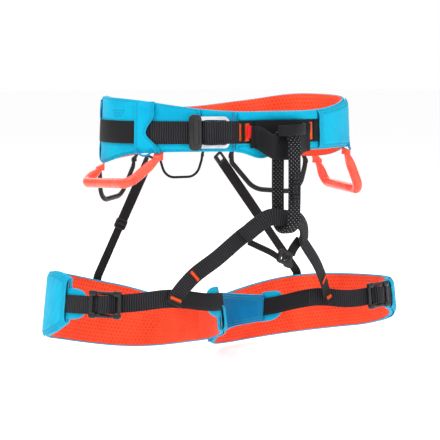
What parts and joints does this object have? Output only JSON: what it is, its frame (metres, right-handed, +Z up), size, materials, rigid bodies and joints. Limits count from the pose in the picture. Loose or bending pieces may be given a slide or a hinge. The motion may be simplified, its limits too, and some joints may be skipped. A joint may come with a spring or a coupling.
{
  "type": "climbing harness",
  "caption": "Padded climbing harness: waist belt with buckle, belay loop, tie-in loops, gear loops, haul loop, and padded leg loops with buckles and rear risers.",
  "frame": {"origin": "centre of the waist opening, level with the middle of the waist webbing", "axes": "+Z up along the waist opening's axis, -Y to the wearer's front, +X to the wearer's left"},
  "size_m": [0.4427, 0.2802, 0.306],
  "materials": {
    "shell_fabric": "matte woven",
    "lining_mesh": "matte spacer mesh",
    "pad_foam": "matte foam",
    "webbing_smooth": "satin webbing",
    "webbing_ribbed": "ribbed webbing",
    "tie_in_band": "satin webbing",
    "belay_webbing": "coarse woven",
    "belay_stitching": "thread",
    "tack_thread": "thread",
    "label_red": "woven tape",
    "buckle_silver": "polished",
    "buckle_black": "satin black",
    "leg_buckle_black": "satin black",
    "hook_plastic": "gloss",
    "tube_coral": "semi gloss",
    "tube_black": "satin",
    "haul_cord": "braided",
    "riser_webbing": "flat webbing"
  },
  "bodies": {
    "waist": {"waist_lining": "lining_mesh", "waist_foam_core": "pad_foam", "waist_outer_shell": "shell_fabric", "waist_slider_pad": "shell_fabric", "waist_webbing_main": "webbing_smooth", "waist_webbing_tail": "webbing_ribbed", "waist_webbing_front": "webbing_smooth", "waist_rear_sleeve": "shell_fabric", "waist_left_sleeve": "shell_fabric", "waist_right_sleeve": "shell_fabric", "waist_front_roll": "shell_fabric", "waist_lower_flap": "shell_fabric", "waist_bar_tacks": "tack_thread", "waist_label_tab": "label_red", "waist_keepers": "shell_fabric", "waist_buckle_frame": "buckle_silver", "waist_buckle_plate": "buckle_black", "tie_in_patch": "tie_in_band", "upper_tie_in_loop": "tie_in_band", "lower_tie_in_loop": "tie_in_band", "lower_tie_in_strap": "tie_in_band", "lower_tie_in_hook": "hook_plastic", "gear_loop_tabs": "shell_fabric", "riser_hooks": "hook_plastic", "riser_adjusters": "hook_plastic", "riser_strap_right": "riser_webbing", "riser_strap_left": "riser_webbing", "riser_elastic_right": "riser_webbing", "riser_elastic_left": "riser_webbing"},
    "belay_loop": {"belay_loop": "belay_webbing", "belay_loop_stitching": "belay_stitching"},
    "waist_slider": {"waist_buckle_slider": "buckle_black"},
    "gear_loop_front_right": {"gear_loop_front_right": "tube_coral"},
    "gear_loop_rear_right": {"gear_loop_rear_right": "tube_black"},
    "gear_loop_front_left": {"gear_loop_front_left": "tube_coral"},
    "gear_loop_rear_left": {"gear_loop_rear_left": "tube_black"},
    "haul_loop": {"haul_loop": "haul_cord"},
    "leg_slider_right": {"leg_buckle_slider_right": "leg_buckle_black"},
    "leg_loop_right": {"leg_lining_right": "lining_mesh", "leg_foam_core_right": "pad_foam", "leg_outer_shell_right": "shell_fabric", "leg_outer_sleeve_right": "shell_fabric", "leg_inner_sleeve_right": "shell_fabric", "leg_webbing_right": "webbing_ribbed", "leg_webbing_inner_right": "webbing_smooth", "leg_bridge_strap_right": "webbing_ribbed", "leg_bar_tacks_right": "tack_thread", "leg_buckle_frame_right": "leg_buckle_black"},
    "leg_slider_left": {"leg_buckle_slider_left": "leg_buckle_black"},
    "leg_loop_left": {"leg_lining_left": "lining_mesh", "leg_foam_core_left": "pad_foam", "leg_outer_shell_left": "shell_fabric", "leg_outer_sleeve_left": "shell_fabric", "leg_inner_sleeve_left": "shell_fabric", "leg_webbing_left": "webbing_ribbed", "leg_webbing_inner_left": "webbing_smooth", "leg_bridge_strap_left": "webbing_ribbed", "leg_bar_tacks_left": "tack_thread", "leg_buckle_frame_left": "leg_buckle_black"}
  },
  "joints": [
    {"name": "belay_loop_turn", "type": "hinge", "parent": "waist", "child": "belay_loop", "pos_m": [-0.005, -0.1315, -0.053], "axis": [0, 0, 1], "range_deg": [-12, 12]},
    {"name": "waist_slider_travel", "type": "slide", "parent": "waist", "child": "waist_slider", "axis": [0.924, -0.3824, 0], "range_m": [-0.002, 0.002]},
    {"name": "gear_loop_front_right_swing", "type": "hinge", "parent": "waist", "child": "gear_loop_front_right", "pos_m": [-0.12518, -0.06116, -0.02787], "axis": [-0.2371, 0.9587, -0.1572], "range_deg": [-50, 10]},
    {"name": "gear_loop_rear_right_swing", "type": "hinge", "parent": "waist", "child": "gear_loop_rear_right", "pos_m": [-0.14025, 0.04379, -0.04348], "axis": [0.8136, 0.5785, 0.0586], "range_deg": [-3, 50]},
    {"name": "gear_loop_front_left_swing", "type": "hinge", "parent": "waist", "child": "gear_loop_front_left", "pos_m": [0.12518, -0.06116, -0.02787], "axis": [-0.2371, -0.9587, 0.1572], "range_deg": [-14, 46]},
    {"name": "gear_loop_rear_left_swing", "type": "hinge", "parent": "waist", "child": "gear_loop_rear_left", "pos_m": [0.14025, 0.04379, -0.04348], "axis": [0.8136, -0.5785, -0.0586], "range_deg": [-3, 50]},
    {"name": "haul_loop_swing", "type": "hinge", "parent": "waist", "child": "haul_loop", "pos_m": [0.03175, 0.10412, -0.03551], "axis": [0.9999, -0.0101, -0.0042], "range_deg": [-3, 50]},
    {"name": "leg_loop_right_drop", "type": "hinge", "parent": "waist", "child": "leg_loop_right", "pos_m": [0, -0.1175, -0.117], "axis": [1, 0, 0], "range_deg": [-18, 12], "stiffness_Nm_per_rad": 0.9119, "springref_deg": 20.05, "deforming": ["riser_elastic_right"]},
    {"name": "leg_slider_right_travel", "type": "slide", "parent": "leg_loop_right", "child": "leg_slider_right", "axis": [0.6014, -0.7989, 0], "range_m": [-0.0015, 0.0015]},
    {"name": "leg_loop_left_drop", "type": "hinge", "parent": "waist", "child": "leg_loop_left", "pos_m": [0, -0.1175, -0.117], "axis": [1, 0, 0], "range_deg": [-18, 12], "stiffness_Nm_per_rad": 0.9206, "springref_deg": 20.05, "deforming": ["riser_elastic_left"]},
    {"name": "leg_slider_left_travel", "type": "slide", "parent": "leg_loop_left", "child": "leg_slider_left", "axis": [0.9547, 0.2977, 0], "range_m": [-0.0015, 0.0015]}
  ]
}
